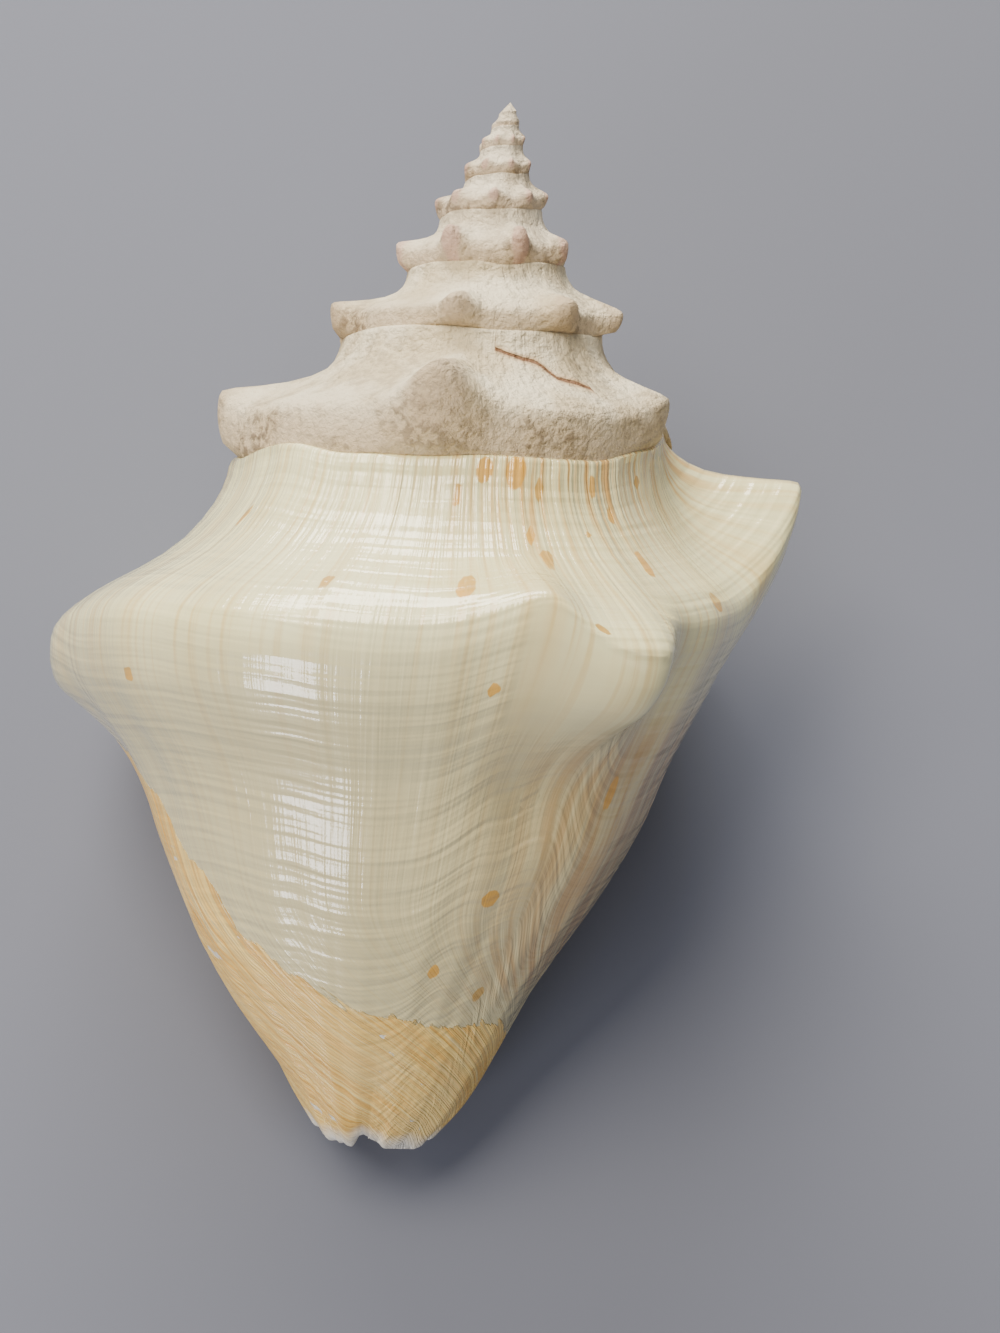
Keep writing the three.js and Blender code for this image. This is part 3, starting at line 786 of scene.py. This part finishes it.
# %% Golden skin
torn_edge = node(tree, "Math", stretched(tree, 0.30, 0.22, 5.0, 5), 5.0, past_v, **TIMES_PLUS)
torn_edge = node(tree, "Math", mottle, 3.0, torn_edge, **TIMES_PLUS)
covered = node(tree, "MapRange", torn_edge, 3.8, 4.3, **SMOOTH)
fibre_mask = node(tree, "MapRange", stretched(tree, 0.5, 0.02, 4.0, 12), 0.36, 0.66, **SMOOTH)
gold = node(tree, "Mix", fibre_mask, colour("#ffdb80"), colour("#e6ae4a"), **OVER)
pale_fibres = node(tree, "MapRange", stretched(tree, 1.1, 0.05, 2.0, 44), 0.56, 0.72, 0, 0.8, **SMOOTH)
gold = node(tree, "Mix", pale_fibres, gold, colour("#ffebae"), **OVER)
faded = node(tree, "MapRange", cloud, 0.55, 0.70, 0, 0.55, **SMOOTH)
gold = node(tree, "Mix", faded, gold, colour("#fbe09a"), **OVER)
chips = node(tree, "MapRange", stretched(tree, 0.09, 0.16, 3.0, 21), 0.68, 0.70, **SMOOTH)
gold = node(tree, "Mix", chips, gold, colour("#efe9d8"), **OVER)
base = node(tree, "Mix", covered, base, gold, **OVER)
base = node(tree, "Mix", broken_v, base, colour("#eee8da"), **OVER)

# %% [markdown]
# ## Fine relief
# Heights are in millimetres: growth lines about 1 mm apart that are stronger on the ramp, spiral cords about
# 3 mm apart, finer lines between them, pits on the spire, and the fibres of the golden skin. Reflections break
# up on them. On the smooth facet beside the large knob most of that is gone.

# %% Outside relief
strong_on_ramp = node(tree, "MapRange", row_v, 1.0, 0.05, 0.20, 0.65, **SMOOTH)
weave = node(tree, "Math", stretched(tree, 0.75, 0.018, 2.0, 3, 0.25), strong_on_ramp, **TIMES)
weave = node(tree, "Math", stretched(tree, 0.022, 0.40, 1.5, 8), 0.55, weave, **TIMES_PLUS)
weave = node(tree, "Math", stretched(tree, 2.4, 0.05, 1.0, 17), 0.035, weave, **TIMES_PLUS)
weave = node(tree, "Math", weave, node(tree, "MapRange", calm_v, 0, 1, 1.0, 0.12, **SMOOTH), **TIMES)
pitted = node(tree, "Math", mottle, 1.5, node(tree, "Math", pits, 1.7, **TIMES), **TIMES_PLUS)
pitted = node(tree, "Math", pitted, node(tree, "Math", 1.0, polished, operation="SUBTRACT"), **TIMES)
fibres = node(tree, "Math", stretched(tree, 0.55, 0.02, 3.0, 12), 0.7, 0.12, **TIMES_PLUS)
fibres = node(tree, "Math", fibres, covered, **TIMES)
height = node(tree, "Math", node(tree, "Math", weave, pitted, **PLUS), fibres, **PLUS)
height = node(tree, "Math", cracked, -0.5, height, **TIMES_PLUS)
height = node(tree, "Math", node(tree, "Math", chips, covered, **TIMES), -0.12, height, **TIMES_PLUS)
bump = node(tree, "Bump", 1.0, ONE_MM, height, **BUMP)

# %% [markdown]
# ## Gloss
# The polish is a clear coat over a softer shine. The chalky spire has none, and the horny skin only a little.

# %% Outside gloss
rough = node(tree, "Mix", polished, 0.66, 0.30, **VALUES)
rough = node(tree, "Mix", covered, rough, 0.40, **VALUES)
coat = node(tree, "Math", polished, node(tree, "MapRange", covered, 0, 1, 1.0, 0.35, **SMOOTH), **TIMES)
shader = node(tree, "BsdfPrincipled", base, rough, bump, coat, 0.07, ARAGONITE_IOR, bump, **GLOSSY)
node(tree, "OutputMaterial", shader)
print(aragonite.name, len(tree.nodes), "nodes")

# %% [markdown]
# ## The inside: glazed aragonite
# The animal glazes the inside of the lip and the column. It is very smooth, and rosy pink where it is
# thickest, fading to cream at the rim of the lip.

# %% Inside finish
glaze, tree = new_finish("rosy_glazed_aragonite")
turn_v, row_v = uv_pair(tree, "whorl")
behind_lip = node(tree, "MapRange", turn_v, 0.60, 0.48, **SMOOTH)
rosy_clouds = node(tree, "MapRange", stretched(tree, 0.06, 0.02, 3.0), 0.35, 0.65, **SMOOTH)
rosy = node(tree, "Mix", rosy_clouds, colour("#dfa58f"), colour("#e7bda4"), **OVER)
rosy = node(tree, "Mix", behind_lip, colour("#e9d8c4"), rosy, **OVER)
ripple = node(tree, "Math", stretched(tree, 0.2, 0.02, 2.0), 0.4, **TIMES)
bump = node(tree, "Bump", 1.0, ONE_MM, ripple, **BUMP)
shader = node(tree, "BsdfPrincipled", rosy, 0.22, bump, 0.6, 0.06, ARAGONITE_IOR, **GLOSSY)
node(tree, "OutputMaterial", shader)
print(glaze.name, len(tree.nodes), "nodes")

# %% [markdown]
# ## Putting the finishes on
# The two finishes go on the two kinds of face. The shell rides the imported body, and takes the place of the
# plain solid that was packed.

# %% Put the finishes on
shell.data.materials.clear()
shell.data.materials.append(aragonite)
shell.data.materials.append(glaze)
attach(shell, "root")
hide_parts("conch_shell")

# %% [markdown]
# ## Floor, camera and light
# The floor is plain and pale, and a little rough, so it has no highlight of its own.

# %% Floor
bpy.ops.object.select_all(action="DESELECT")
bpy.ops.mesh.primitive_plane_add(size=6, location=(0, 0, 0))
floor = bpy.context.object
floor.name = "floor"
plain, tree = new_finish("pale_floor")
shader = node(tree, "BsdfPrincipled", colour("#6c707e"), 0.9, **GLOSSY)
node(tree, "OutputMaterial", shader)
floor.data.materials.append(plain)

# %% [markdown]
# The camera looks down nearly square to the shell's axis. Its place is given in the shell's own frame, leaned
# and twisted a few degrees, so it keeps the same view of the shell however the shell lies.

# %% Camera
DISTANCE, LEAN, TWIST, FIELD_WIDTH, SENSOR_WIDTH = 450.0, 0.07, 0.1381, 210.3, 36
CENTRE, HALFWAY = np.array([13.34, -7.36, 0.0]), np.array([0, -111.7, 0])
right = np.array([np.cos(TWIST), np.sin(TWIST), 0])
up = np.array([-np.sin(TWIST), np.cos(TWIST), 0])
lean = np.array(Matrix.Rotation(LEAN, 3, "X"))
to_world = LIE @ lean.T


def shell_point(p):
    # From the leaned view frame, which has its origin halfway along the axis, to metres.
    return ((lean.T @ p) + HALFWAY) @ LIE.T / 1000 + APEX / 1000


towards_eye = np.array([0, 0, 1.0])
eye = shell_point(CENTRE + DISTANCE * towards_eye)
axes = np.stack([to_world @ right, to_world @ up, to_world @ towards_eye], axis=1)
bpy.ops.object.camera_add()
camera = bpy.context.object
camera.name = "camera"
camera.matrix_world = Matrix([[*axis, at] for axis, at in zip(axes, eye)] + [[0, 0, 0, 1]])
camera.data.sensor_fit = "HORIZONTAL"
camera.data.sensor_width = SENSOR_WIDTH
camera.data.lens = DISTANCE / FIELD_WIDTH * SENSOR_WIDTH
bpy.context.scene.camera = camera
print("camera at", np.round(eye, 3), "lens", round(camera.data.lens, 1))

# %% [markdown]
# A large soft light above, and two windows, one past the spire and one past the canal, whose reflections show
# how glossy the last whorl is. A weak light from the right fills the shadow.

# %% Lights
def soft_light(name, at, aim, size, power, tint="#ffffff"):
    bpy.ops.object.light_add(type="AREA", location=at)
    lamp = bpy.context.object
    lamp.name = name
    lamp.data.shape = "RECTANGLE"
    lamp.data.size, lamp.data.size_y = size
    lamp.data.energy = power
    lamp.data.color = colour(tint)[:3]
    lamp.rotation_euler = (Vector(aim) - Vector(at)).to_track_quat("-Z", "Y").to_euler()
    return lamp


soft_light("ceiling", (-0.50, 0.40, 1.25), (0, 0, 0), (0.9, 0.7), 28, "#fff4e0")
soft_light("far_window", (-0.40, 1.15, 0.60), (0, 0, 0.05), (0.9, 0.6), 30, "#fffaf0")
soft_light("near_window", (-0.55, -1.05, 0.42), (0, 0, 0.05), (0.45, 0.42), 9, "#f6f6ff")
soft_light("side_fill", (0.9, -0.1, 0.9), (0, 0, 0.05), (0.7, 0.7), 1.5, "#fff4e6")
world = bpy.data.worlds.new("studio")
world.use_nodes = True
background = world.node_tree.nodes["Background"]
background.inputs["Color"].default_value = colour("#d2d2d2")
background.inputs["Strength"].default_value = 0.36
bpy.context.scene.world = world
